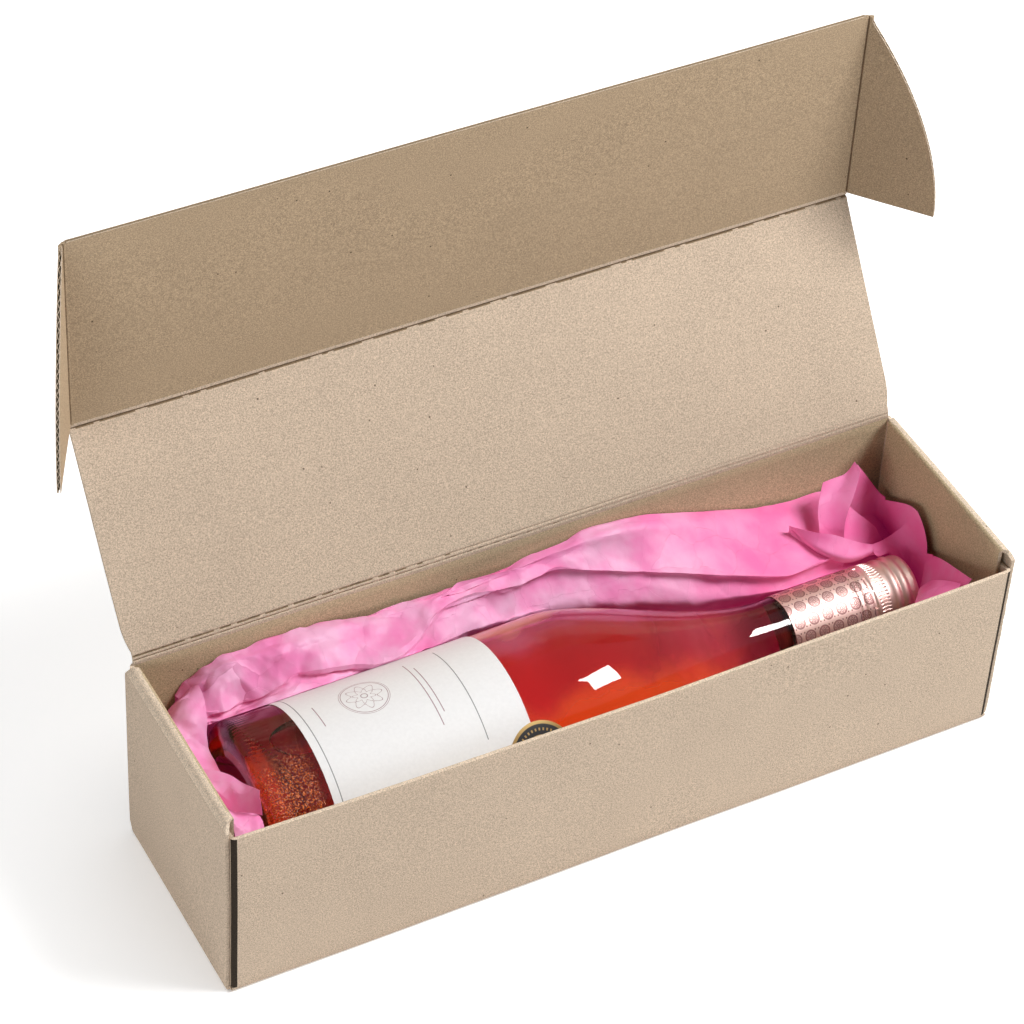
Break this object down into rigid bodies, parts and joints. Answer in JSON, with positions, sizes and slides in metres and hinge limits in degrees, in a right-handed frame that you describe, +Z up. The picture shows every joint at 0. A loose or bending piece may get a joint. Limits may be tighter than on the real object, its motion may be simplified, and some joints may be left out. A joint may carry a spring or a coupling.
{
  "type": "bottle shipping box",
  "caption": "Folded cardboard shipping box with a hinged lid, tuck flap and side ears, standing open with a bottle lying in crumpled tissue.",
  "frame": {"origin": "centre of the tray's underside, which the box rests on", "axes": "+X along the box towards the bottle's cap, +Y from the front wall to the hinged back wall, +Z up"},
  "size_m": [0.383, 0.1468, 0.2582],
  "materials": {
    "board": "matte",
    "bottle_glass": "gloss",
    "wine": "gloss",
    "cap_metal": "satin",
    "liner": "matte",
    "label_paper": "matte",
    "seal_print": "satin",
    "tissue": "matte"
  },
  "bodies": {
    "tray": {"tray": "board", "glass_bottle": "bottle_glass", "wine": "wine", "screw_cap": "cap_metal", "cap_liner": "liner", "label": "label_paper", "seal": "seal_print", "tissue_paper": "tissue"},
    "lid": {"lid_panel": "board"},
    "flap": {"tuck_flap": "board"},
    "right_ear": {"right_ear": "board"},
    "left_ear": {"left_ear": "board"}
  },
  "joints": [
    {"name": "lid_hinge", "type": "hinge", "parent": "tray", "child": "lid", "pos_m": [0, 0.0462, 0.0937], "axis": [-1, 0, 0], "range_deg": [-77, 75]},
    {"name": "tuck_flap_fold", "type": "hinge", "parent": "lid", "child": "flap", "pos_m": [0, 0.09836, 0.16875], "axis": [1, 0, 0], "range_deg": [-34, 55]},
    {"name": "right_ear_fold", "type": "hinge", "parent": "flap", "child": "right_ear", "pos_m": [0.17, 0.09868, 0.21375], "axis": [0, -0.007, -1], "range_deg": [-50, 40]},
    {"name": "left_ear_fold", "type": "hinge", "parent": "flap", "child": "left_ear", "pos_m": [-0.17, 0.09868, 0.21375], "axis": [0, 0.007, 1], "range_deg": [-62, 28]}
  ]
}
